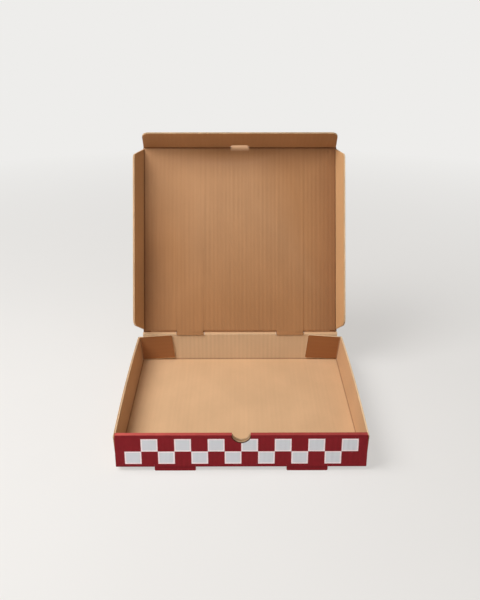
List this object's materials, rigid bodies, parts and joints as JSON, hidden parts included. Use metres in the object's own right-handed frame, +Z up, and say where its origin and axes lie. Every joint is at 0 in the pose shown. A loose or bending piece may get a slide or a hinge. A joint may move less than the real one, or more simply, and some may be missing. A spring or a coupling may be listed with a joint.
{
  "type": "folding pizza box",
  "caption": "Folding corrugated board box with an open hinged lid, tucking lid flaps, a rolled front wall locked into the base and a chequered front.",
  "frame": {"origin": "centre of the underside of the tray's base", "axes": "+X to the right seen from the front, +Y from the front wall to the hinge of the lid, +Z up"},
  "size_m": [0.3178, 0.4047, 0.3438],
  "materials": {
    "tray": "uncoated brown board with a red and white chequered print on the front",
    "lid": "uncoated brown board",
    "lid_flaps": "uncoated brown board"
  },
  "bodies": {
    "tray": {"tray": "tray"},
    "lid": {"lid": "lid"},
    "left_flap": {"lid_left_flap": "lid_flaps"},
    "right_flap": {"lid_right_flap": "lid_flaps"},
    "front_flap": {"lid_front_flap": "lid_flaps"}
  },
  "joints": [
    {"name": "lid_hinge", "type": "hinge", "parent": "tray", "child": "lid", "pos_m": [0, 0.1475, 0.0473], "axis": [1, 0, 0], "range_deg": [-68, 112]},
    {"name": "left_flap_fold", "type": "hinge", "parent": "lid", "child": "left_flap", "pos_m": [-0.14875, 0.1475, 0.0473], "axis": [0, 0.3746, 0.9272], "range_deg": [-72.5, 20]},
    {"name": "right_flap_fold", "type": "hinge", "parent": "lid", "child": "right_flap", "pos_m": [0.14875, 0.1475, 0.0473], "axis": [0, -0.3746, -0.9272], "range_deg": [-76.7, 15.8]},
    {"name": "front_flap_fold", "type": "hinge", "parent": "lid", "child": "front_flap", "pos_m": [0, 0.25419, 0.31136], "axis": [1, 0, 0], "range_deg": [-68, 25.5]}
  ],
  "couplings": [
    {"joint": "left_flap_fold", "follows": "lid_hinge", "ratio": 0.1785},
    {"joint": "right_flap_fold", "follows": "lid_hinge", "ratio": 0.141},
    {"joint": "front_flap_fold", "follows": "lid_hinge", "ratio": 0.2276}
  ]
}
